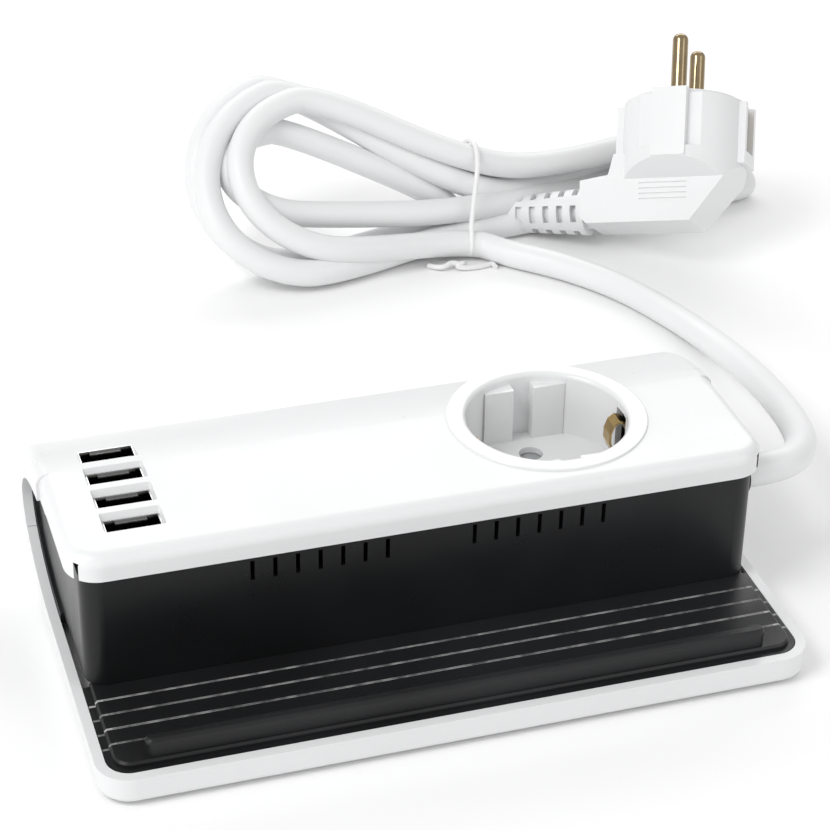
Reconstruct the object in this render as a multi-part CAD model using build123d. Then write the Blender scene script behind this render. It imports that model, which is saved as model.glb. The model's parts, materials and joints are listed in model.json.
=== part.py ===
from build123d import *
import math
import os

# Desk power strip: a white C-shaped shell holding a black inner box, with one
# earthed round socket, four USB-A ports and a shallow pen tray in front.
# Millimetres. X runs along the strip, Y to the back, Z up. The origin is on
# the surface the feet stand on, under the middle of the strip.

# ---- driving dimensions of the housing
HALF_WIDTH = 85.0
TRAY_FRONT = -52.5
FOOT_STAND = 0.8
TOP = 44.8
NOSE_Y = 10.0
NOSE_Z = 22.8
NOSE_OUTER = (42.5, 22.0)
NOSE_SKIN = (40.3, 19.8)
NOSE_MOUTH = (33.0, 15.0)
WALL = 2.2
SIDE_WALL = 2.4
JOINT_Z = 15.8
RIM_TOP = 7.8
LIP_BOTTOM = 38.3
COVER_FRONT = -20.5
CORNER_RADIUS = 8.0
EDGE_ROUNDING = 3.0
SIDE_STEP = 0.8
SIDE_STEP_Y = 17.0
GAP = 0.15

# ---- tray
LINER_HALF = 82.4
LINER_FRONT = -50.0
LINER_BACK = -17.5
LINER_TOP = 9.1
GROOVE_YS = (-24.9, -30.2, -35.5, -40.7)
RIB_HALF = 73.8
RIB_Y = -45.9
RIB_WIDTH = 3.6
RIB_TOP = 13.5

# ---- black inner box
BOX_HALF = 81.6
BOX_FRONT = -19.6
BOX_TOP = 38.1
BOX_WALL = 2.0
BOX_CORNER = 4.8
VENT_PITCH = 5.33
VENT_COUNT = 7
VENT_GROUP_X = 26.5

# ---- round socket
SOCKET_X, SOCKET_Y = 38.1, 8.8
RECESS_R = 19.75
CUP_R = 21.35
COLLAR_R = 24.5
COLLAR_TOP = 45.3
FLOOR_TOP = 28.3
FLOOR = 1.6
PIN_OFFSET = 9.5
PIN_HOLE_R = 3.0
SHUTTER_TRAVEL = 6.5

# ---- earth clip: strip height, then (x from the socket's middle, z) along one finger
CLIP_STRIP_Z = 18.0
CLIP_HALF = 2.0
CLIP_THICK = 0.6
CLIP_POINTS = ((18.4, 18.0), (18.4, 31.5), (17.0, 33.2), (16.2, 35.4), (16.2, 38.0),
               (17.0, 40.2), (18.4, 41.2), (19.9, 40.6), (20.5, 38.6))

# ---- charger board: left, right, front, back edges, then its top
BOARD = (-46.0, 8.0, -12.0, 26.0)
BOARD_TOP = 10.6

# ---- USB ports, mouths upward, long side along X
USB_X = -67.0
USB_YS = (-7.0, 3.05, 13.1, 23.15)
USB_MOUTH = (12.5, 5.1)
USB_SHELL_WALL = 0.3
USB_MOUTH_Z = 43.3
USB_BOARD_TOP = 29.0

# ---- fixings
POSTS = ((-54.0, -13.5), (75.5, 6.0), (-75.5, 34.0), (75.5, 34.0))
POST_R = 2.6
BOSS_R = 3.5
SCREW_R = 1.5
SCREW_HEAD = (2.6, 4.0, 6.2)
FOOT_R = 5.0
FEET = ((-72, -42), (72, -42), (-72, 24), (72, 24))

# ---- mains lead
CORD_D = 8.1
CORD_Y, CORD_Z = -10.0, 32.5
CORD_START_X = 77.0
SHEATH_END_X = 65.0
FLOOR_Z = CORD_D / 2
CORE_D = 1.8
CLAMP_SCREWS = ((67.8, CORD_Y + 7.0), (71.2, CORD_Y + 7.0))
LEAD_ROUTE = [
    (CORD_START_X, CORD_Y, CORD_Z),
    (88, CORD_Y, CORD_Z),
    (97.5, -7, 31.5),
    (105, 3, 29),
    (110, 17, 24.8),
    (114.5, 33, 20),
    (118.5, 52, 14.8),
    (121, 72, 10),
    (121, 93, 6.2),
    (117.5, 114, FLOOR_Z),
    (109.5, 134, FLOOR_Z),
    (97.5, 151, FLOOR_Z),
    (82.5, 164.5, FLOOR_Z),
]
TAIL_ROUTE = [(70, 191.6, 5.8), (75.5, 192.3, 4.8), (86.5, 189.9, 4.3), (94.5, 184, 6.3)]

# ---- hank of folded lead: it stands on its long edge and leans back
HANK_FOOT = (71.0, 173.0, FLOOR_Z)
HANK_TURN = 5.0
HANK_LEAN = 35.0
HANK_LEFT = (-48.0, 25.5, 31.5)
HANK_WAIST = (8.0, 11.0, 15.5)
HANK_RIGHT = (97.0, 10.5, 14.5)
LEFT_LAYERS = (4.1, -17.0)
RIGHT_LAYERS = (-3.0, -23.0)
TIE_AT = -3.0
TIE_THICK = 0.5
TIE_WIDE = 2.0

# ---- angled plug, lying on the back of its grip. Local frame: origin in the
# middle of the pin face, z along the pins, -x towards the lead
PLUG_AT = (143.5, 172.5, 43.4)
PLUG_YAW, PLUG_TILT, PLUG_LEAN = -36.9, 12.5, 37.7
BARREL_R = 19.0
BARREL_DEPTH = 21.0
PLUG_BACK = -39.0
PLUG_CORD_Z = -33.3
GRIP_LEFT = -30.0
GRIP_HALF = 10.5
GRIP_TOP = -26.0
GUIDE_HALF = 5.3
ENGRAVED_ZS = (-27.4, -29.0, -30.6, -32.2)
PIN_R = 2.4
PIN_ROOT_R = 2.0
PIN_LENGTH = 19.0
RELIEF = (-30.1, -55.0, 7.4, 5.6)
RELIEF_SPIGOT_R = 5.5
SLOT_PITCH = 4.6

os.makedirs("parts", exist_ok=True)


def save(name, shape):
    solids = shape.solids()
    out = solids[0] if len(solids) == 1 else Compound(children=list(solids))
    export_step(out, f"parts/{name}.step")


def block(x0, x1, y0, y1, z0, z1):
    return Pos((x0 + x1) / 2, (y0 + y1) / 2, (z0 + z1) / 2) * Box(x1 - x0, y1 - y0, z1 - z0)


def rod(x, y, z0, z1, radius):
    return Pos(x, y, (z0 + z1) / 2) * Cylinder(radius, z1 - z0)


def rod_x(x0, x1, y, z, radius):
    return Pos((x0 + x1) / 2, y, z) * Rot(0, 90, 0) * Cylinder(radius, x1 - x0)


def half_oval_face(radii):
    """Rear half of an ellipse on the nose axis, in the YZ plane."""
    y_radius, z_radius = radii
    keep = Pos(NOSE_Y + y_radius, NOSE_Z) * Rectangle(2 * y_radius, 3 * z_radius)
    return (Pos(NOSE_Y, NOSE_Z) * Ellipse(y_radius, z_radius)) & keep


def half_oval(half, radii):
    return extrude(Plane.YZ * half_oval_face(radii), amount=half, both=True)


def side_profile(half, radii, front, bottom=None, top=None):
    """Flat slab from the front to the nose axis, ending in the half-oval nose."""
    low = NOSE_Z - radii[1] if bottom is None else bottom
    high = NOSE_Z + radii[1] if top is None else top
    slab = Pos((front + NOSE_Y) / 2, (low + high) / 2) * Rectangle(NOSE_Y - front, high - low)
    return extrude(Plane.YZ * (slab + half_oval_face(radii)), amount=half, both=True)


# ---- shells
def rounded_cover(half):
    """Outer form of the top cover, its front corners and upper edges rounded."""
    form = side_profile(half, NOSE_OUTER, COVER_FRONT) & block(-90, 90, -60, 60, JOINT_Z, 50)
    corners = [e for e in form.edges().filter_by(Axis.Z) if e.center().Y < COVER_FRONT + 0.1]
    form = fillet(corners, CORNER_RADIUS)
    bottom_edges = form.edges().filter_by_position(Axis.Z, JOINT_Z - 0.01, JOINT_Z + 0.01)
    rims = [
        e for e in form.edges()
        if e not in bottom_edges
        and (abs(e.center().X) > half - CORNER_RADIUS or e.center().Y < COVER_FRONT + 0.1)
        and not (abs(e.tangent_at(0.5).Z) > 0.99 and e.center().Y < 0)
    ]
    return fillet(rims, EDGE_ROUNDING)


def rods_at_posts(low, high, radius):
    rods = Part()
    for x, y in POSTS:
        rods += rod(x, y, low, high, radius)
    return rods


def usb_funnel(y):
    """Tapered opening over one port, ending in a straight slot for its shell."""
    slot_x, slot_y = USB_MOUTH[0] + 2 * USB_SHELL_WALL, USB_MOUTH[1] + 2 * USB_SHELL_WALL
    mouth = Plane.XY.offset(TOP + 0.01) * Pos(USB_X, y) * RectangleRounded(14.2, 7.8, 0.6)
    throat = Plane.XY.offset(USB_MOUTH_Z) * Pos(USB_X, y) * RectangleRounded(
        slot_x + 0.1, slot_y + 0.1, 0.3)
    straight = block(USB_X - slot_x / 2 - 0.05, USB_X + slot_x / 2 + 0.05,
                     y - slot_y / 2 - 0.05, y + slot_y / 2 + 0.05, 38, USB_MOUTH_Z + 0.01)
    return loft([throat, mouth]) + straight


def make_top_cover():
    nose = rounded_cover(HALF_WIDTH) & block(-90, 90, SIDE_STEP_Y, 60, 0, 60)
    flat = rounded_cover(HALF_WIDTH - SIDE_STEP) & block(-90, 90, -60, SIDE_STEP_Y, 0, 60)
    cover = nose + flat
    inner = HALF_WIDTH - SIDE_WALL
    cover -= side_profile(inner, NOSE_SKIN, COVER_FRONT + WALL)
    cover -= side_profile(100, NOSE_MOUTH, -60, top=LIP_BOTTOM)
    posts = rods_at_posts(JOINT_Z, TOP, POST_R) & side_profile(inner, (41, 20.5), COVER_FRONT)
    cover += posts - rods_at_posts(0, JOINT_Z + 9, SCREW_R)
    cover -= rod(SOCKET_X, SOCKET_Y, 30, 50, CUP_R + GAP)
    for y in USB_YS:
        cover -= usb_funnel(y)
    return cover


def make_base_shell():
    form = side_profile(HALF_WIDTH, NOSE_OUTER, TRAY_FRONT)
    form &= block(-90, 90, TRAY_FRONT - 1, NOSE_Y, 0, RIM_TOP) + block(-90, 90, NOSE_Y, 60, 0, JOINT_Z - GAP)
    corners = [e for e in form.edges().filter_by(Axis.Z) if e.center().Y < TRAY_FRONT + 0.1]
    form = fillet(corners, CORNER_RADIUS)
    under = [
        e for e in form.edges()
        if e.center().Z < RIM_TOP - 1
        and (abs(e.center().X) > HALF_WIDTH - CORNER_RADIUS or e.center().Y < TRAY_FRONT + 0.1)
        and abs(e.tangent_at(0.5).Z) < 0.9
    ]
    form = fillet(under, 2.0)
    inner = HALF_WIDTH - SIDE_WALL
    cavity = side_profile(inner, NOSE_SKIN, TRAY_FRONT + SIDE_WALL)
    back_corner = [e for e in cavity.edges().filter_by(Axis.Z) if e.center().Y < TRAY_FRONT + 5]
    form -= fillet(back_corner, CORNER_RADIUS - SIDE_WALL)
    form -= side_profile(100, NOSE_MOUTH, -60, bottom=RIM_TOP)
    bosses = rods_at_posts(FOOT_STAND + 1, JOINT_Z - GAP, BOSS_R)
    form += bosses & side_profile(inner, (41.3, 20.8), TRAY_FRONT)
    form -= rods_at_posts(-1, JOINT_Z, SCREW_R + 0.1)
    form -= rods_at_posts(-1, SCREW_HEAD[2], SCREW_HEAD[0] + 0.15)
    for x, y in FEET:
        form -= rod(x, y, 0, FOOT_STAND + 1.0 + (1.4 if y > NOSE_Y else 0), FOOT_R)
    return form


def make_tray_liner():
    plate = block(-LINER_HALF, LINER_HALF, LINER_FRONT, LINER_BACK, 3.1, RIM_TOP)
    front = [e for e in plate.edges().filter_by(Axis.Z) if e.center().Y < LINER_FRONT + 0.1]
    plate = fillet(front, CORNER_RADIUS - SIDE_WALL)
    step = 1.5
    platform = block(-LINER_HALF + step, LINER_HALF - step, LINER_FRONT + step, LINER_BACK, 4, LINER_TOP)
    front = [e for e in platform.edges().filter_by(Axis.Z) if e.center().Y < LINER_FRONT + 5]
    platform = fillet(front, CORNER_RADIUS - SIDE_WALL - step)
    platform = chamfer(platform.faces().sort_by(Axis.Z)[-1].edges().filter_by(
        lambda e: e.center().Y < LINER_BACK - 0.1), 0.5)
    plate += platform
    rib = extrude(Plane.XY.offset(LINER_TOP - 0.5) * Pos(0, RIB_Y) * SlotOverall(
        2 * RIB_HALF, RIB_WIDTH), amount=RIB_TOP - LINER_TOP + 0.5)
    rib = fillet(rib.faces().sort_by(Axis.Z)[-1].edges(), 1.0)
    plate += rib
    plate -= block(-LINER_HALF + 4, LINER_HALF - 4, LINER_FRONT + 4, LINER_BACK - 2, 3, LINER_TOP - 2)
    for y in GROOVE_YS:
        plate -= block(-79, 79, y - 0.3, y + 0.3, LINER_TOP - 0.35, LINER_TOP + 1)
    return plate


def make_inner_housing():
    form = side_profile(BOX_HALF, (34.5, 16.5), BOX_FRONT, bottom=LINER_TOP + 0.1, top=BOX_TOP)
    front = [e for e in form.edges().filter_by(Axis.Z) if e.center().Y < BOX_FRONT + 0.1]
    form = fillet(front, BOX_CORNER)
    hollow = block(-BOX_HALF + BOX_WALL, BOX_HALF - BOX_WALL, BOX_FRONT + BOX_WALL, 60, -10, 60)
    front = [e for e in hollow.edges().filter_by(Axis.Z) if e.center().Y < 0]
    form -= fillet(front, BOX_CORNER - BOX_WALL)
    band = half_oval(BOX_HALF + 0.85, (34.2, 16.2)) - half_oval(100, (31.4, 13.4))
    form += band - block(-BOX_HALF + 1, BOX_HALF - 1, -60, 60, -10, 60)
    for group in (-VENT_GROUP_X, VENT_GROUP_X):
        for i in range(VENT_COUNT):
            x = group + (i - (VENT_COUNT - 1) / 2) * VENT_PITCH
            form -= block(x - 0.5, x + 0.5, BOX_FRONT - 1, BOX_FRONT + 3, 31.6, BOX_TOP - 1.2)
    form -= rod_x(75, 90, CORD_Y, CORD_Z, 5.2)
    return form


# ---- round socket
def make_socket_insert():
    collar = rod(SOCKET_X, SOCKET_Y, 36, COLLAR_TOP, COLLAR_R)
    top_edge = collar.faces().sort_by(Axis.Z)[-1].edges()
    collar = fillet(top_edge, 0.45)
    collar -= side_profile(HALF_WIDTH, NOSE_OUTER, -60)
    cup = rod(SOCKET_X, SOCKET_Y, FLOOR_TOP - FLOOR, COLLAR_TOP - 0.5, CUP_R)
    insert = collar + cup
    recess = rod(SOCKET_X, SOCKET_Y, FLOOR_TOP, 60, RECESS_R)
    insert -= recess
    rim = [
        e for e in insert.edges().filter_by(GeomType.CIRCLE)
        if abs(e.radius - RECESS_R) < 0.01 and e.center().Z > COLLAR_TOP - 0.1
    ]
    insert = fillet(rim, 1.2)
    for side in (-1, 1):
        for x0, x1 in ((28.0, 35.5), (40.7, 48.9)):
            y0, y1 = sorted((SOCKET_Y + side * 16.2, SOCKET_Y + side * 22))
            guide = block(x0, x1, y0, y1, FLOOR_TOP - 0.5, 43.0)
            insert += guide & rod(SOCKET_X, SOCKET_Y, 20, 50, RECESS_R + 0.5)
    for side in (-1, 1):
        insert -= rod(SOCKET_X, SOCKET_Y + side * PIN_OFFSET, 20, 40, PIN_HOLE_R)
        x = SOCKET_X + side * 18.0
        insert -= block(x - 1.3, x + 1.3, SOCKET_Y - 2.6, SOCKET_Y + 2.6, 20, FLOOR_TOP + 0.1)
        slot_in, slot_out = sorted((SOCKET_X + side * 19, SOCKET_X + side * 22))
        insert -= block(slot_in, slot_out, SOCKET_Y - 3, SOCKET_Y + 3, 30, 42.6)
    return insert


def make_shutter():
    """Sliding child-protection plate: its holes line up after SHUTTER_TRAVEL along +X."""
    plate = block(SOCKET_X - 11.5, SOCKET_X + 4.5, SOCKET_Y - 13.5, SOCKET_Y + 13.5, 24.3, 26.5)
    for side in (-1, 1):
        plate -= rod(SOCKET_X - SHUTTER_TRAVEL, SOCKET_Y + side * PIN_OFFSET, 20, 30, PIN_HOLE_R)
    return plate


def make_shutter_spring():
    coil = Helix(pitch=1.6, height=8.0, radius=1.1)
    wire = Plane(coil @ 0, z_dir=coil % 0) * Circle(0.22)
    spring = sweep(wire, path=coil, is_frenet=True)
    return Pos(SOCKET_X + 4.8, SOCKET_Y, 25.4) * Rot(0, 90, 0) * spring


def make_contact_carrier():
    body = block(SOCKET_X - 15.5, SOCKET_X + 15.5, SOCKET_Y - 15.5, SOCKET_Y + 15.5, 22.6, 24.1)
    for side in (-1, 1):
        body -= rod(SOCKET_X, SOCKET_Y + side * PIN_OFFSET, 20, 30, PIN_HOLE_R)
        wall_y = SOCKET_Y + side * 15.0
        body += block(SOCKET_X - 15.5, SOCKET_X + 15.5, wall_y - 0.5, wall_y + 0.5, 24, 26.6)
        foot_x = SOCKET_X + side * 14.0
        body += block(foot_x - 1.5, foot_x + 1.5, SOCKET_Y - 10, SOCKET_Y + 10, 8.3, 22.7)
    body += block(SOCKET_X + 13.2, SOCKET_X + 14.6, SOCKET_Y - 4, SOCKET_Y + 4, 24, 26.6)
    body -= block(SOCKET_X - 19.5, SOCKET_X - 12.4, SOCKET_Y - 4, SOCKET_Y + 4, 17.4, 23.4)
    body -= block(SOCKET_X + 12.4, SOCKET_X + 19.5, SOCKET_Y - 4, SOCKET_Y + 4, 17.4, 23.4)
    return body


def make_contact(side):
    """Split sleeve that grips one pin, on a flat strap with a wire tag."""
    y = SOCKET_Y + side * PIN_OFFSET
    sleeve = rod(SOCKET_X, y, 10.5, 22.4, 3.3) - rod(SOCKET_X, y, 0, 40, 2.55)
    sleeve -= block(SOCKET_X - 0.5, SOCKET_X + 0.5, y - 5, y + 5, 12.5, 40)
    strap = block(SOCKET_X - 9, SOCKET_X + 3.2, y - 3, y + 3, 9.7, 10.6)
    return sleeve + strap


def make_earth_clip():
    """Brass bridge under the carrier with a sprung loop on each side of the recess."""
    low = CLIP_STRIP_Z
    clip = block(SOCKET_X - 18.4, SOCKET_X + 18.4, SOCKET_Y - CLIP_HALF, SOCKET_Y + CLIP_HALF, low, low + 0.6)
    for side in (-1, 1):
        for start, end in zip(CLIP_POINTS, CLIP_POINTS[1:]):
            clip += clip_leg(start, end, side)
    return clip


def clip_leg(start, end, side):
    """One straight leg of the sprung loop."""
    (x0, z0), (x1, z1) = start, end
    length = math.hypot(x1 - x0, z1 - z0)
    tilt = math.degrees(math.atan2(side * (x1 - x0), z1 - z0))
    middle = Pos(SOCKET_X + side * (x0 + x1) / 2, SOCKET_Y, (z0 + z1) / 2)
    return middle * Rot(0, tilt, 0) * Box(CLIP_THICK, 2 * CLIP_HALF, length + 0.3)


# ---- USB ports
def make_usb_shell(y):
    w, d = USB_MOUTH
    t = USB_SHELL_WALL
    outer = block(USB_X - w / 2 - t, USB_X + w / 2 + t, y - d / 2 - t, y + d / 2 + t, USB_BOARD_TOP, USB_MOUTH_Z)
    outer -= block(USB_X - w / 2, USB_X + w / 2, y - d / 2, y + d / 2, USB_BOARD_TOP - 1, 60)
    tab = block(USB_X - 3.7, USB_X + 3.7, y + d / 2 - 0.75, y + d / 2 + t / 2, USB_MOUTH_Z - 2.6, USB_MOUTH_Z - 0.5)
    return outer + tab


def make_usb_tongue(y):
    block_top = USB_BOARD_TOP + 4.0
    foot = block(USB_X - 6.2, USB_X + 6.2, y - 2.5, y + 2.5, USB_BOARD_TOP + 0.05, block_top)
    tongue = block(USB_X - 5.7, USB_X + 5.7, y - 1.5, y - 0.6, block_top - 0.1, USB_MOUTH_Z - 0.9)
    notch = block(USB_X - 0.25, USB_X + 0.25, y - 2, y, USB_MOUTH_Z - 4, USB_MOUTH_Z)
    return foot + tongue - notch


def make_usb_contacts(y):
    strips = Part()
    for offset in (-3.5, -1.2, 1.2, 3.5):
        x = USB_X + offset
        strips += block(x - 0.5, x + 0.5, y - 0.6, y - 0.3, USB_BOARD_TOP + 4.05, USB_MOUTH_Z - 2.2)
    return strips


def make_usb_board():
    return block(USB_X - 6.7, USB_X + 6.7, USB_YS[0] - 5, USB_YS[-1] + 5, USB_BOARD_TOP - 1.6, USB_BOARD_TOP)


# ---- charger electronics
def make_charger_board():
    board = block(*BOARD, BOARD_TOP - 1.6, BOARD_TOP)
    for x in (BOARD[0] + 4, BOARD[1] - 4):
        for y in (BOARD[2] + 4, BOARD[3] - 4):
            board -= rod(x, y, 0, 20, 1.6)
    return board


def make_transformer():
    core = block(-24, -6, -1, 15, BOARD_TOP, BOARD_TOP + 14)
    window = block(-21, -9, -2, 16, BOARD_TOP + 2.5, BOARD_TOP + 11.5)
    bobbin = block(-21, -9, -3, 17, BOARD_TOP + 2.5, BOARD_TOP + 11.5)
    return core - window + fillet(bobbin.edges().filter_by(Axis.Y), 1.5)


def make_capacitors():
    cans = Part()
    for x, y, radius, height in ((-37, 6, 5.0, 18), (-37, 18, 4.0, 14), (2, 16, 3.2, 11)):
        can = rod(x, y, BOARD_TOP, BOARD_TOP + height, radius)
        cans += fillet(can.faces().sort_by(Axis.Z)[-1].edges(), 0.6)
    return cans


def make_inductor():
    return Pos(-36, -5, BOARD_TOP + 5.2) * Rot(90, 0, 0) * Torus(3.4, 1.8)


# ---- wiring and fixings
def bent_tube(points, diameter, radii=None):
    """Round tube on straight runs joined by tangent arcs, each as large as its runs allow."""
    route = [Vector(*point) for point in points]
    runs = [b - a for a, b in zip(route, route[1:])]
    if radii is None:
        radii = []
        for before, after in zip(runs, runs[1:]):
            half_turn = math.radians(before.get_angle(after)) / 2
            radii.append(0.45 * min(before.length, after.length) / math.tan(half_turn))
    path = FilletPolyline(*points, radius=radii)
    tube = sweep(Plane(path @ 0, z_dir=path % 0) * Circle(diameter / 2), path=path)
    section = math.pi * diameter ** 2 / 4
    print("radii", [round(r, 1) for r in radii], "length", round(path.length, 1),
          "volume ratio", round(tube.volume / (section * path.length), 3))
    return tube


def make_wires():
    """Three insulated cores from the end of the sheath to the socket contacts."""
    x0, y0, z0 = SHEATH_END_X, CORD_Y, CORD_Z
    left, right = SOCKET_X - 2, SOCKET_X + 24
    contact_z = 9.6
    low_z = 6.5
    live = [(x0, y0 - 2, z0 - 1), (58, y0 - 2, z0 - 1), (58, y0 - 2, low_z),
            (left, -2, low_z), (left, -2, contact_z)]
    neutral = [(x0, y0 + 1.8, z0 - 1), (61.5, y0 + 1.8, z0 - 1), (61.5, y0 + 1.8, low_z),
               (46, 16, low_z), (left, 17.5, low_z), (left, 17.5, contact_z)]
    earth = [(x0, y0, z0 + 2), (right, y0, z0 + 2), (right, 2, z0 + 3), (right, SOCKET_Y, 19),
             (SOCKET_X + 18.9, SOCKET_Y, 18.3)]
    return {
        "wire_live": bent_tube(live, CORE_D, [1.5, 1.5, 1.0]),
        "wire_neutral": bent_tube(neutral, CORE_D, [1.2, 1.5, 1.5, 1.0]),
        "wire_earth": bent_tube(earth, CORE_D, [1.2, 1.5, 1.5]),
    }


def make_cord_bushing():
    ring = rod_x(79.2, 82.4, CORD_Y, CORD_Z, 5.15)
    flange = rod_x(78.0, 79.2, CORD_Y, CORD_Z, 6.0)
    return ring + flange - rod_x(70, 90, CORD_Y, CORD_Z, CORD_D / 2 + 0.05)


def make_cord_clamp():
    """Two half-blocks that pinch the sheath and hang from the cover."""
    body = block(66, 73, CORD_Y - 7, CORD_Y + 9.5, CORD_Z - 7, CORD_Z + 10)
    body -= rod_x(60, 80, CORD_Y, CORD_Z, CORD_D / 2)
    body -= block(60, 80, CORD_Y - 20, CORD_Y + 20, CORD_Z - 0.2, CORD_Z + 0.2)
    for x, y in CLAMP_SCREWS:
        body -= rod(x, y, 0, CORD_Z + 7, 1.1)
    return body


def make_clamp_screws():
    screws = Part()
    for x, y in CLAMP_SCREWS:
        screws += rod(x, y, CORD_Z - 7.05, CORD_Z + 6, 1.1) + rod(x, y, CORD_Z - 9, CORD_Z - 7, 1.6)
    return screws


def make_housing_screws():
    head_r, head_low, head_top = SCREW_HEAD
    shanks = rods_at_posts(head_top - 0.2, JOINT_Z + 8, SCREW_R)
    return shanks + rods_at_posts(head_low, head_top - 0.1, head_r)


def make_rubber_feet():
    feet = Part()
    for x, y in FEET:
        height = FOOT_STAND + 1.0 + (1.4 if y > NOSE_Y else 0)
        foot = rod(x, y, 0, height, FOOT_R)
        feet += chamfer(foot.faces().sort_by(Axis.Z)[0].edges(), 0.3)
    return feet


# ---- plug, built in its own frame and laid down by plug_pose
def plug_pose():
    return Pos(*PLUG_AT) * Rot(0, 0, PLUG_YAW) * Rot(0, -PLUG_TILT, 0) * Rot(-PLUG_LEAN, 0, 0)


def both_sides(shape, plane):
    return shape + mirror(shape, plane)


def make_barrel():
    barrel = Pos(0, 0, -BARREL_DEPTH / 2 - 0.7) * Cylinder(BARREL_R, BARREL_DEPTH - 1.4)
    barrel += Pos(0, 0, -7) * Cylinder(BARREL_R - 2.6, 14)
    grooves = block(GUIDE_HALF, 10.5, 16.4, 25, -18, 1) + block(-10.5, -GUIDE_HALF, 16.4, 25, -18, 1)
    barrel -= both_sides(grooves, Plane.XZ)
    guide = block(-GUIDE_HALF, GUIDE_HALF, 12, BARREL_R - 0.1, -BARREL_DEPTH, 0)
    barrel += both_sides(guide, Plane.XZ)
    ridge = block(15, BARREL_R + 1.4, -5.6, 5.6, -BARREL_DEPTH, -2)
    pocket = block(17.5, 25, -3.6, 3.6, -17, 1)
    return barrel + both_sides(ridge, Plane.YZ) - both_sides(pocket, Plane.YZ)


def make_grip():
    low, flare = PLUG_BACK, GRIP_HALF - 1.5
    section = Plane.YZ * make_face(Polyline(
        (-BARREL_R, -18), (-BARREL_R, -BARREL_DEPTH), (-GRIP_HALF, GRIP_TOP), (-flare, low),
        (flare, low), (GRIP_HALF, GRIP_TOP), (BARREL_R, -BARREL_DEPTH), (BARREL_R, -18), close=True))
    grip = extrude(section, amount=40, both=True)
    outline = Plane.XZ * make_face(Polyline(
        (-19.5, -18), (-21, -24.5), (GRIP_LEFT, GRIP_TOP), (GRIP_LEFT, low + 2), (GRIP_LEFT + 2, low),
        (4.8, low), (19.5, -BARREL_DEPTH), (19.5, -18), close=True))
    grip &= extrude(outline, amount=40, both=True)
    plan = Plane.XY.offset(-60) * (Circle(BARREL_R) + Pos(GRIP_LEFT / 2, 0) * Rectangle(-GRIP_LEFT, 2 * GRIP_HALF))
    grip &= extrude(plan, amount=60)
    for z in ENGRAVED_ZS:
        face_y = -GRIP_HALF + 1.5 * (GRIP_TOP - z) / (GRIP_TOP - PLUG_BACK)
        grip -= block(-11, 4, -15, face_y + 0.3, z - 0.2, z + 0.2)
    return grip


def make_plug_body():
    body = make_barrel() + make_grip()
    body -= Pos(0, 0, -7) * Cylinder(14.0, 14.02)
    spigot_hole = Pos(GRIP_LEFT + 3, 0, PLUG_CORD_Z) * Rot(0, 90, 0) * Cylinder(RELIEF_SPIGOT_R, 6.2)
    return plug_pose() * (body - spigot_hole)


def make_plug_insert():
    disc = Pos(0, 0, -7) * Cylinder(13.95, 13.9)
    for side in (-1, 1):
        disc -= Pos(0, side * PIN_OFFSET, 0) * Cylinder(PIN_ROOT_R + 0.02, 40)
    disc -= Pos(10, 0, -3) * Cylinder(2.9, 10)
    return plug_pose() * disc


def make_plug_pins():
    pins = Part()
    for side in (-1, 1):
        pin = Pos(0, side * PIN_OFFSET, PIN_LENGTH / 2) * Cylinder(PIN_R, PIN_LENGTH)
        tip = pin.faces().sort_by(Axis.Z)[-1].edges()
        pins += fillet(tip, PIN_R * 0.85) + Pos(0, side * PIN_OFFSET, -5.9) * Cylinder(PIN_ROOT_R, 12)
    return plug_pose() * pins


def make_plug_earth():
    """Two side strips and the sleeve that takes an earth pin."""
    pieces = Part()
    for side in (-1, 1):
        pieces += Pos(side * 18.0, 0, -9) * Box(0.8, 5.6, 13)
    sleeve = Pos(10, 0, -4.4) * (Cylinder(2.85, 7) - Cylinder(2.4, 8))
    return plug_pose() * (pieces + sleeve)


def make_plug_relief():
    """Tapered boot with five rows of slots, held in the grip by a round spigot."""
    x0, x1, r0, r1 = RELIEF
    boot = Pos((x0 + x1) / 2, 0, PLUG_CORD_Z) * Rot(0, -90, 0) * Cone(r0, r1, x0 - x1)
    for i in range(5):
        x = x0 - 3 - SLOT_PITCH * i
        ring = Pos(x, 0, PLUG_CORD_Z) * Rot(0, 90, 0) * (Cylinder(12, 2.0) - Cylinder(4.7, 3))
        for angle in (36, 108, 180, 252, 324):
            wedge = Pos(x, 0, PLUG_CORD_Z) * Rot(angle, 0, 0) * Pos(0, 0, 8) * Box(4, 5.2, 8)
            boot -= ring & wedge
    boot += Pos(x0 + 2.9, 0, PLUG_CORD_Z) * Rot(0, 90, 0) * Cylinder(RELIEF_SPIGOT_R - 0.05, 5.8)
    boot -= Pos(x1, 0, PLUG_CORD_Z) * Rot(0, 90, 0) * Cylinder(CORD_D / 2 + 0.02, 8)
    return plug_pose() * boot


# ---- free lead
def hank_plane():
    turn, lean = math.radians(HANK_TURN), math.radians(HANK_LEAN)
    along = (math.cos(turn), math.sin(turn), 0)
    front = (math.sin(turn) * math.cos(lean), -math.cos(turn) * math.cos(lean), math.sin(lean))
    return Plane(origin=HANK_FOOT, x_dir=along, z_dir=front)


def hank_half(end, layers, extra=0.0):
    """Stadium-like slab from the waist of the hank round one end of its loops."""
    circles = [Pos(x, y) * Circle(radius + extra) for x, y, radius in (end, HANK_WAIST)]
    outline = make_hull([edge for circle in circles for edge in circle.edges()])
    front, back = layers
    return extrude(hank_plane().offset(back - extra) * outline, amount=front - back + 2 * extra)


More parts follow.
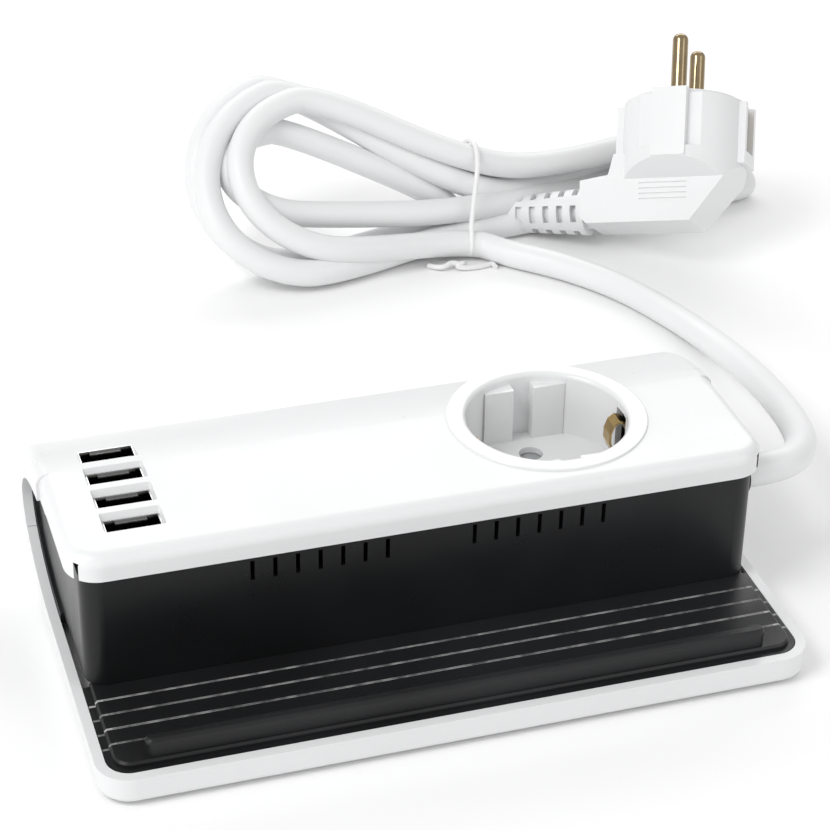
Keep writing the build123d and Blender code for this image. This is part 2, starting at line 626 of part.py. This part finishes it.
def make_cord_hank():
    x0, x1, root_radius, _ = RELIEF
    relief_space = Pos((x0 + x1) / 2, 0, PLUG_CORD_Z) * Rot(0, 90, 0) * Cylinder(root_radius, x0 - x1 + 4)
    hank = hank_half(HANK_LEFT, LEFT_LAYERS) + hank_half(HANK_RIGHT, RIGHT_LAYERS)
    hank -= plug_pose() * relief_space
    hank -= bent_tube(TAIL_ROUTE, CORD_D + 0.6)
    return hank & block(-100, 300, 0, 300, 0.05, 200)


def make_hank_tie(hank):
    """Flat band round the middle of the hank."""
    grown = hank_half(HANK_LEFT, LEFT_LAYERS, TIE_THICK) + hank_half(HANK_RIGHT, RIGHT_LAYERS, TIE_THICK)
    slice_of_hank = hank_plane().location * Pos(TIE_AT, 0, 0) * Box(TIE_WIDE, 200, 200)
    return ((grown & slice_of_hank) - hank) & block(-100, 300, 0, 300, 0.02, 200)


def save_plug():
    save("plug_body", make_plug_body())
    save("plug_insert", make_plug_insert())
    save("plug_pins", make_plug_pins())
    save("plug_earth_contacts", make_plug_earth())
    save("plug_relief", make_plug_relief())


def save_lead():
    save("cord_lead", bent_tube(LEAD_ROUTE, CORD_D))
    save("cord_tail", bent_tube(TAIL_ROUTE, CORD_D))
    hank = make_cord_hank()
    save("cord_hank", hank)
    save("twist_tie", make_hank_tie(hank))


def save_housing():
    save("top_cover", make_top_cover())
    save("base_shell", make_base_shell())
    save("tray_liner", make_tray_liner())
    save("inner_housing", make_inner_housing())
    save("housing_screws", make_housing_screws())
    save("rubber_feet", make_rubber_feet())


def save_socket():
    save("socket_insert", make_socket_insert())
    save("shutter", make_shutter())
    save("shutter_spring", make_shutter_spring())
    save("contact_carrier", make_contact_carrier())
    save("live_contact", make_contact(-1))
    save("neutral_contact", make_contact(1))
    save("earth_clip", make_earth_clip())


def save_usb():
    for number, y in enumerate(USB_YS, start=1):
        save(f"usb_shell_{number}", make_usb_shell(y))
        save(f"usb_tongue_{number}", make_usb_tongue(y))
        save(f"usb_contacts_{number}", make_usb_contacts(y))
    save("usb_board", make_usb_board())


def save_electronics():
    save("charger_board", make_charger_board())
    save("transformer", make_transformer())
    save("capacitors", make_capacitors())
    save("inductor", make_inductor())
    for name, wire in make_wires().items():
        save(name, wire)
    save("cord_bushing", make_cord_bushing())
    save("cord_clamp", make_cord_clamp())
    save("clamp_screws", make_clamp_screws())
    save("cord_inner_sheath", rod_x(SHEATH_END_X, CORD_START_X, CORD_Y, CORD_Z, CORD_D / 2))


save_housing()
save_socket()
save_usb()
save_electronics()
save_plug()
save_lead()
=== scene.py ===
import json
import math

import bpy
from mathutils import Matrix, Vector


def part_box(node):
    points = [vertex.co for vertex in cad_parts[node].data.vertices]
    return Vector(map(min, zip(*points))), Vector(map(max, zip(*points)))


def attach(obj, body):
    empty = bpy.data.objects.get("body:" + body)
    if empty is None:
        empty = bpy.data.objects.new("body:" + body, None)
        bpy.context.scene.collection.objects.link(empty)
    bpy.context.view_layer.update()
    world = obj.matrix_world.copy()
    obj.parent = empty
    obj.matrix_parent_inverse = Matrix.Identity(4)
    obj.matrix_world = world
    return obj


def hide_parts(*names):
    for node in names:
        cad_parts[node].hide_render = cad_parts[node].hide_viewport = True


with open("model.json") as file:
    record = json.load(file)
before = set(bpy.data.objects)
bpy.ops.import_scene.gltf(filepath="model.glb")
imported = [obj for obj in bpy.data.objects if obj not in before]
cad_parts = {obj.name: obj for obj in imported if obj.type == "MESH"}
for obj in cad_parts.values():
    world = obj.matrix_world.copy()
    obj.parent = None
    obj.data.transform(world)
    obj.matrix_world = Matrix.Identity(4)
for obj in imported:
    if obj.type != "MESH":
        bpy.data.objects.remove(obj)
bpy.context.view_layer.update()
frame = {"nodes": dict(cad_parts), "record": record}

MM = 0.001
SCENE = bpy.context.scene
HOUSING = "housing"


# ---- camera, lights, floor
CAMERA_AT = Vector((-0.14702, -0.46083, 0.35466))
CAMERA_YAW, CAMERA_PITCH, CAMERA_ROLL = 17.89, 31.62, 1.08
CAMERA_LENS, SENSOR_WIDTH = 106.0, 36

# name: place, width and height, power
LIGHT_TARGET = (0.05, 0.05, 0.02)
LIGHTS = {
    "key": ((-0.7, -0.2, 0.95), (0.5, 0.5), 5.2),
    "fill": ((0.8, -0.7, 0.7), (0.6, 0.6), 1.5),
    "back": ((0.3, 1.0, 0.7), (1.4, 0.4), 5),
    "front": ((-0.3, -1.1, 0.25), (0.9, 0.3), 0.8),
    "left": ((-1.1, -0.3, 0.3), (0.6, 0.3), 2.0),
}
WORLD_STRENGTH = 0.64
FLOOR_SIZE = 6


def make_camera():
    yaw, pitch, roll = (math.radians(a) for a in (CAMERA_YAW, CAMERA_PITCH, CAMERA_ROLL))
    ahead = Vector((
        math.sin(yaw) * math.cos(pitch), math.cos(yaw) * math.cos(pitch), -math.sin(pitch)
    ))
    right = ahead.cross(Vector((0, 0, 1))).normalized()
    up = right.cross(ahead)
    right, up = (
        right * math.cos(roll) + up * math.sin(roll),
        up * math.cos(roll) - right * math.sin(roll),
    )
    data = bpy.data.cameras.new("camera")
    data.lens = CAMERA_LENS
    data.sensor_width = SENSOR_WIDTH
    camera = bpy.data.objects.new("camera", data)
    facing = Matrix((right, up, -ahead)).transposed().to_4x4()
    camera.matrix_world = Matrix.Translation(CAMERA_AT) @ facing
    SCENE.collection.objects.link(camera)
    SCENE.camera = camera


def add_area(name, place, size, power):
    data = bpy.data.lights.new(name, "AREA")
    data.shape = "RECTANGLE"
    data.size, data.size_y = size
    data.energy = power
    light = bpy.data.objects.new(name, data)
    light.location = place
    aim = Vector(LIGHT_TARGET) - Vector(place)
    light.rotation_euler = aim.to_track_quat("-Z", "Y").to_euler()
    SCENE.collection.objects.link(light)


def make_light():
    for name, (place, size, power) in LIGHTS.items():
        add_area(name, place, size, power)
    world = bpy.data.worlds.new("studio")
    world.use_nodes = True
    background = world.node_tree.nodes["Background"]
    background.inputs["Color"].default_value = grey(1)
    background.inputs["Strength"].default_value = WORLD_STRENGTH
    SCENE.world = world
    SCENE.view_settings.view_transform = "Standard"


def make_floor():
    bpy.ops.mesh.primitive_plane_add(size=FLOOR_SIZE, location=(0, 0, 0))
    floor = bpy.context.object
    floor.name = "floor"
    floor.data.materials.append(plain_floor())


# ---- materials
# Noise scales are in cells per metre. A drift changes colour, and an uneven one changes gloss.
PLASTIC_DRIFT, PLASTIC_UNEVEN = 18, 60
METAL_DRIFT, METAL_UNEVEN, METAL_GRAIN = 220, 400, 900
# The second scale here breaks up the painted highlight lines along the tray's grooves.
FLOOR_DRIFT, GROOVE_HIGHLIGHT_BREAKS = 3, 260
BUMP_DEPTH = 0.0001
COAT_ROUGHNESS = 0.08
METAL_BUMP = 0.08

# The mouths of the USB shells, and how far down in them the light ends and painted shade takes over
USB_MOUTH_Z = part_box("usb_shell_1")[1][2]
DARK_BELOW, LIT_ABOVE = 0.0009, 0.0003
# Colour of the painted shade down inside the USB shells
PAINTED_SHADE_GREY = 0.012

# The tray's grooves: how many, the front one's place in Y, their spacing and half width
GROOVE_COUNT, GROOVE_LOW_Y, GROOVE_PITCH, GROOVE_HALF = 4, -0.0407, 0.00527, 0.00032
# Grey of the painted highlight lines, standing in for the light that the tray's grooves catch
GROOVE_HIGHLIGHT_GREY = 0.42

# A colour Mix node's sockets, which have the same names as its number sockets
MIX_COLOUR_A, MIX_COLOUR_B, MIX_COLOUR_RESULT = 6, 7, 2


def new_material(name):
    material = bpy.data.materials.new(name)
    material.use_nodes = True
    tree = material.node_tree
    return material, tree, tree.nodes["Principled BSDF"]


def noise(tree, scale, detail=3.0, roughness=0.55, stretch=None):
    coords = tree.nodes.new("ShaderNodeTexCoord")
    texture = tree.nodes.new("ShaderNodeTexNoise")
    texture.inputs["Scale"].default_value = scale
    texture.inputs["Detail"].default_value = detail
    texture.inputs["Roughness"].default_value = roughness
    source = coords.outputs["Object"]
    if stretch:
        mapping = tree.nodes.new("ShaderNodeMapping")
        mapping.inputs["Scale"].default_value = stretch
        tree.links.new(source, mapping.inputs["Vector"])
        source = mapping.outputs["Vector"]
    tree.links.new(source, texture.inputs["Vector"])
    return texture.outputs["Fac"]


def ramp(tree, source, stops):
    node = tree.nodes.new("ShaderNodeValToRGB")
    elements = node.color_ramp.elements
    while len(elements) < len(stops):
        elements.new(0.5)
    for element, (place, colour) in zip(elements, stops):
        element.position = place
        element.color = colour
    tree.links.new(source, node.inputs["Fac"])
    return node.outputs["Color"]


def grey(value):
    return (value, value, value, 1)


def add_bump(tree, shader, height, strength):
    bump = tree.nodes.new("ShaderNodeBump")
    bump.inputs["Strength"].default_value = strength
    bump.inputs["Distance"].default_value = BUMP_DEPTH
    tree.links.new(height, bump.inputs["Height"])
    tree.links.new(bump.outputs["Normal"], shader.inputs["Normal"])


def tint(colour, factor):
    return tuple(min(1.0, c * factor) for c in colour) + (1,)


def moulded(name, colour, rough, grain_scale=2500, grain=0.05, spread=0.02,
            coat=0.0, specular=0.5):
    """Moulded plastic: slight colour drift, uneven gloss and a fine grain."""
    material, tree, shader = new_material(name)
    drift = noise(tree, PLASTIC_DRIFT, 2)
    shades = [(0.35, tint(colour, 1 - spread)), (0.65, tint(colour, 1 + spread))]
    tree.links.new(ramp(tree, drift, shades), shader.inputs["Base Color"])
    uneven = noise(tree, PLASTIC_UNEVEN, 4)
    gloss = [(0.3, grey(rough * 0.85)), (0.7, grey(min(1, rough * 1.15)))]
    tree.links.new(ramp(tree, uneven, gloss), shader.inputs["Roughness"])
    shader.inputs["Specular IOR Level"].default_value = specular
    shader.inputs["Coat Weight"].default_value = coat
    shader.inputs["Coat Roughness"].default_value = COAT_ROUGHNESS
    add_bump(tree, shader, noise(tree, grain_scale, 2), grain)
    return material


def metal(name, colour, rough, brushed=None):
    """Metal with uneven gloss, stretched along Z where it is brushed."""
    material, tree, shader = new_material(name)
    shader.inputs["Metallic"].default_value = 1.0
    drift = noise(tree, METAL_DRIFT, 3)
    shades = [(0.3, tint(colour, 0.86)), (0.7, tint(colour, 1.08))]
    tree.links.new(ramp(tree, drift, shades), shader.inputs["Base Color"])
    uneven = noise(tree, METAL_UNEVEN, 4, stretch=brushed)
    gloss = [(0.3, grey(rough * 0.7)), (0.7, grey(rough * 1.4))]
    tree.links.new(ramp(tree, uneven, gloss), shader.inputs["Roughness"])
    add_bump(tree, shader, noise(tree, METAL_GRAIN, 3, stretch=brushed), METAL_BUMP)
    return material


def metal_with_painted_shade(name, colour, rough):
    """Plated steel with painted shade: its colour goes dark down inside an opening, where light
    does not reach.
    """
    material = metal(name, colour, rough)
    tree = material.node_tree
    shader = tree.nodes["Principled BSDF"]
    coords = tree.nodes.new("ShaderNodeTexCoord")
    split = tree.nodes.new("ShaderNodeSeparateXYZ")
    tree.links.new(coords.outputs["Object"], split.inputs["Vector"])
    depth = tree.nodes.new("ShaderNodeMapRange")
    depth.inputs["From Min"].default_value = USB_MOUTH_Z - DARK_BELOW
    depth.inputs["From Max"].default_value = USB_MOUTH_Z - LIT_ABOVE
    tree.links.new(split.outputs["Z"], depth.inputs["Value"])
    shades = [(0.0, grey(PAINTED_SHADE_GREY)), (1.0, tint(colour, 1.0))]
    tree.links.new(ramp(tree, depth.outputs["Result"], shades), shader.inputs["Base Color"])
    return material


def plain_floor():
    material, tree, shader = new_material("floor_paper")
    drift = noise(tree, FLOOR_DRIFT, 2)
    shades = [(0.3, grey(0.93)), (0.7, grey(0.95))]
    tree.links.new(ramp(tree, drift, shades), shader.inputs["Base Color"])
    shader.inputs["Roughness"].default_value = 0.7
    return material


def grooved(material):
    """Adds painted highlight lines where the tray's grooves run along X and catch the light, broken
    up by noise.
    """
    tree = material.node_tree
    shader = tree.nodes["Principled BSDF"]
    base = shader.inputs["Base Color"].links[0].from_socket
    coords = tree.nodes.new("ShaderNodeTexCoord")
    split = tree.nodes.new("ShaderNodeSeparateXYZ")
    tree.links.new(coords.outputs["Object"], split.inputs["Vector"])
    masks = []
    for i in range(GROOVE_COUNT):
        near = tree.nodes.new("ShaderNodeMath")
        near.operation = "COMPARE"
        near.inputs[1].default_value = GROOVE_LOW_Y + GROOVE_PITCH * i
        near.inputs[2].default_value = GROOVE_HALF
        tree.links.new(split.outputs["Y"], near.inputs[0])
        masks.append(near.outputs["Value"])
    total = masks[0]
    for mask in masks[1:]:
        add = tree.nodes.new("ShaderNodeMath")
        tree.links.new(total, add.inputs[0])
        tree.links.new(mask, add.inputs[1])
        total = add.outputs["Value"]
    broken = tree.nodes.new("ShaderNodeMath")
    broken.operation = "MULTIPLY"
    tree.links.new(total, broken.inputs[0])
    # Noise breaks the painted groove highlights into pieces
    highlight_breaks = [(0.35, grey(0.25)), (0.6, grey(1))]
    tree.links.new(ramp(tree, noise(tree, GROOVE_HIGHLIGHT_BREAKS, 4), highlight_breaks), broken.inputs[1])
    mix = tree.nodes.new("ShaderNodeMix")
    mix.data_type = "RGBA"
    tree.links.new(broken.outputs["Value"], mix.inputs["Factor"])
    tree.links.new(base, mix.inputs[MIX_COLOUR_A])
    mix.inputs[MIX_COLOUR_B].default_value = grey(GROOVE_HIGHLIGHT_GREY)
    tree.links.new(mix.outputs[MIX_COLOUR_RESULT], shader.inputs["Base Color"])
    return material


def make_materials():
    """A material for each slot of the record."""
    tray = moulded("black_liner", (0.012, 0.0125, 0.0135), 0.36, 1500, 0.45, 0.25, specular=0.35)
    return {
        "white_shell": moulded(
            "white_shell", (0.77, 0.775, 0.78), 0.32, 1800, 0.10, 0.01, specular=0.4
        ),
        "socket_white": moulded(
            "socket_white", (0.79, 0.795, 0.80), 0.25, 1500, 0.03, 0.01, coat=0.1
        ),
        "black_liner": grooved(tray),
        "black_box": moulded(
            "black_box", (0.010, 0.0105, 0.0115), 0.30, 1800, 0.2, 0.3, specular=0.28
        ),
        "shutter_grey": moulded("shutter_grey", (0.36, 0.37, 0.38), 0.5),
        "spring_steel": metal("spring_steel", (0.6, 0.6, 0.6), 0.25),
        "carrier": moulded("carrier", (0.7, 0.68, 0.62), 0.5),
        "contact_brass": metal("contact_brass", (0.45, 0.32, 0.14), 0.16, (1, 1, 12)),
        # usb_steel gets painted shade: it is coloured dark down inside the shells
        "usb_steel": metal_with_painted_shade("usb_steel", (0.55, 0.55, 0.55), 0.28),
        "usb_insulator": moulded("usb_insulator", (0.9, 0.9, 0.88), 0.35),
        "circuit_board": moulded("circuit_board", (0.02, 0.12, 0.05), 0.4, 400, 0.3, 0.2),
        "component_dark": moulded("component_dark", (0.02, 0.02, 0.022), 0.45),
        "wire_brown": moulded("wire_brown", (0.12, 0.05, 0.02), 0.4),
        "wire_blue": moulded("wire_blue", (0.03, 0.09, 0.4), 0.4),
        "wire_green": moulded("wire_green", (0.15, 0.4, 0.04), 0.4),
        "screw_steel": metal("screw_steel", (0.62, 0.6, 0.55), 0.3),
        "foot_rubber": moulded("foot_rubber", (0.02, 0.02, 0.02), 0.85, 900, 0.5),
        "cord_white": moulded("cord_white", (0.79, 0.795, 0.80), 0.42, 900, 0.10, 0.015),
        "plug_white": moulded("plug_white", (0.78, 0.785, 0.79), 0.45, 900, 0.10, 0.012),
        "plug_inner": moulded("plug_inner", (0.77, 0.77, 0.77), 0.45, 900, 0.10, 0.012),
        "pin_nickel": metal("pin_nickel", (0.36, 0.28, 0.17), 0.14, (1, 1, 14)),
        "tie_white": moulded("tie_white", (0.8, 0.8, 0.8), 0.35, 900, 0.10, 0.02),
    }


def dress_nodes(materials):
    for part in frame["record"]["subparts"]:
        node = frame["nodes"][part["node"]]
        node.data.materials.clear()
        node.data.materials.append(materials[part["material_slot"]])


# ---- free lead: one spline from the bushing through the hank to the plug, in millimetres
CORD_D = 8.1
FLOOR_Z = CORD_D / 2
EXIT_X, EXIT_Y, EXIT_Z = 77.0, -10.0, 32.5
LEAD_ROUTE = [
    (EXIT_X, EXIT_Y, EXIT_Z),
    (88, EXIT_Y, EXIT_Z),
    (97.5, -7, 31.5),
    (105, 3, 29),
    (110, 17, 24.8),
    (114.5, 33, 20),
    (118.5, 52, 14.8),
    (121, 72, 10),
    (121, 93, 6.2),
    (117.5, 114, FLOOR_Z),
    (109.5, 134, FLOOR_Z),
    (97.5, 151, FLOOR_Z),
    (82.5, 164.5, FLOOR_Z),
]
TAIL_ROUTE = [(70, 191.6, 5.8), (75.5, 192.3, 4.8), (86.5, 189.9, 4.3), (94.5, 184, 6.3)]
HANK_FOOT = Vector((71.0, 173.0, FLOOR_Z))
HANK_TURN, HANK_LEAN = math.radians(5), math.radians(35)

# Each turn crosses the tie low, goes round its left loop, crosses the tie high and goes round
# its right loop. A crossing is (up, depth), and a dip is the upper strand's lowest place on its
# way to the right. A loop is (along, up, half length, half height, depth, how much farther
# back its top is than its middle, slope). Depth is measured towards the front.
WAIST_AT, DIP_AT = 5, 32
TURNS = [
    {"low": (0.5, 0), "left": (-35.5, 28, 30, 25, 2, 4, -0.08), "high": (26.5, 1),
     "dip": (19.5, -4), "right": (80, 12, 24, 11.5, -6, -1, -0.35)},
    {"low": (5, -7), "left": (-43, 28, 33, 30, -1, 5, 0.05), "high": (25.5, -7),
     "dip": (20, -13), "right": (77, 13, 22, 11, -15, -2, -0.25)},
    {"low": (9, -14), "left": (-44.5, 31, 31.5, 29.5, -9, 2, 0), "high": (17.5, -3),
     "dip": (13.5, -11), "right": (72, 14, 21, 10, -24, -5, -0.2)},
    {"low": (9.2, 0), "left": (-46, 31, 21, 14, -4, 3, -0.15), "high": (15, -10),
     "dip": None, "right": None},
]
LEFT_POINTS, RIGHT_POINTS = 8, 7
HANK_ALONG = Vector((math.cos(HANK_TURN), math.sin(HANK_TURN), 0))
HANK_UP = Vector((
    -math.sin(HANK_TURN) * math.sin(HANK_LEAN),
    math.cos(HANK_TURN) * math.sin(HANK_LEAN),
    math.cos(HANK_LEAN),
))
HANK_DEPTH = HANK_ALONG.cross(HANK_UP)


def hank_point(along, up, depth, lowest=FLOOR_Z):
    """A place in the leaning plane of the hank, kept from going through the floor."""
    point = HANK_FOOT + HANK_ALONG * along + HANK_UP * up + HANK_DEPTH * depth
    point.z = max(point.z, lowest)
    return point


def loop_points(loop, start, end, count):
    """Points round one end of a turn, from angle start to end, in degrees."""
    centre_s, centre_t, half_s, half_t, depth, deeper, slope = loop
    points = []
    for i in range(count):
        angle = math.radians(start + (end - start) * i / (count - 1))
        along = centre_s + half_s * math.cos(angle)
        up = centre_t + half_t * math.sin(angle) + slope * (along - centre_s)
        points.append(hank_point(along, up, depth - deeper * math.sin(angle)))
    return points


def hank_route():
    """The turns of the hank in order, from the lead's end of it to the tail's."""
    points = []
    for turn in TURNS:
        points.append(hank_point(WAIST_AT, *turn["low"]))
        points += loop_points(turn["left"], 270, 90, LEFT_POINTS)
        points.append(hank_point(WAIST_AT, *turn["high"]))
        if turn["right"]:
            points.append(hank_point(DIP_AT, *turn["dip"]))
            points += loop_points(turn["right"], 90, -90, RIGHT_POINTS)
    return points


def metres(points):
    return [Vector(p) * MM for p in points]


def nurbs(name, points, diameter):
    curve = bpy.data.curves.new(name, "CURVE")
    curve.dimensions = "3D"
    curve.bevel_depth = diameter / 2
    curve.bevel_resolution = 8
    curve.resolution_u = 10
    curve.use_fill_caps = True
    spline = curve.splines.new("NURBS")
    spline.points.add(len(points) - 1)
    for target, point in zip(spline.points, points):
        target.co = (*point, 1)
    spline.use_endpoint_u = True
    spline.order_u = 3
    thing = bpy.data.objects.new(name, curve)
    SCENE.collection.objects.link(thing)
    return thing


# The tie's loop round the waist as (along, up, depth), and its twisted ends on the floor
TIE_D = 1.6
TIE_LOOP = [
    (10.5, 32.5, -3), (10.9, 30.5, 4), (9.5, 23, 5.4), (7, 15.8, 5), (4.5, 9, 5.4), (2.8, 4.2, 5.2),
    (1.9, -2, 6), (1.7, -5, 2), (2.5, 0, -10), (4, 6, -19), (7, 18, -15), (9.5, 29, -12),
]
TIE_ENDS = [
    [
        (70, 166.5, 1.0), (68.5, 165.2, 1.6), (66, 166.2, 2.2), (63.5, 165, 1.4), (61, 166.5, 1.0),
        (59.5, 168.5, 0.8),
    ],
    [
        (70.5, 166.5, 1.0), (69.5, 164.6, 2.4), (67, 164.6, 1.4), (70, 163.4, 0.9),
        (76, 163.6, 0.8), (79.5, 164.8, 0.8), (79, 162, 0.8),
    ],
]


def make_tie(materials):
    """A coated wire tie: one loop round the waist of the hank and two twisted ends."""
    loop = nurbs("tie_loop", metres(hank_point(*p, lowest=TIE_D / 2) for p in TIE_LOOP), TIE_D * MM)
    spline = loop.data.splines[0]
    spline.use_endpoint_u = False
    spline.use_cyclic_u = True
    spline.order_u = 4
    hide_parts("twist_tie")
    pieces = [loop]
    for number, points in enumerate(TIE_ENDS, start=1):
        pieces.append(nurbs(f"tie_end_{number}", metres(points), TIE_D * MM))
    for piece in pieces:
        piece.data.materials.append(materials["tie_white"])
        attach(piece, HOUSING)
    return pieces


def centreline(curve_object):
    """Points along a curve's own line."""
    bare = curve_object.data.copy()
    bare.bevel_depth = 0
    copy = bpy.data.objects.new("centreline", bare)
    SCENE.collection.objects.link(copy)
    mesh = bpy.data.meshes.new_from_object(copy)
    points = [v.co.copy() for v in mesh.vertices]
    bpy.data.objects.remove(copy)
    return points


ON_THE_CORD = ["plug_body", "plug_insert", "plug_pins", "plug_earth_contacts", "plug_relief"]


def make_cord(materials):
    points = metres(LEAD_ROUTE) + metres(hank_route()) + metres(TAIL_ROUTE)
    lead = nurbs("mains_lead", points, CORD_D * MM)
    lead.data.materials.append(materials["cord_white"])
    line = centreline(lead)
    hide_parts("cord_lead", "cord_tail", "cord_hank")
    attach(lead, HOUSING)
    plug = [frame["nodes"][name] for name in ON_THE_CORD]
    tuple(metres(LEAD_ROUTE)[0])
    plug + make_tie(materials)


MATERIALS = make_materials()
make_camera()
make_light()
make_floor()
make_cord(MATERIALS)
dress_nodes(MATERIALS)
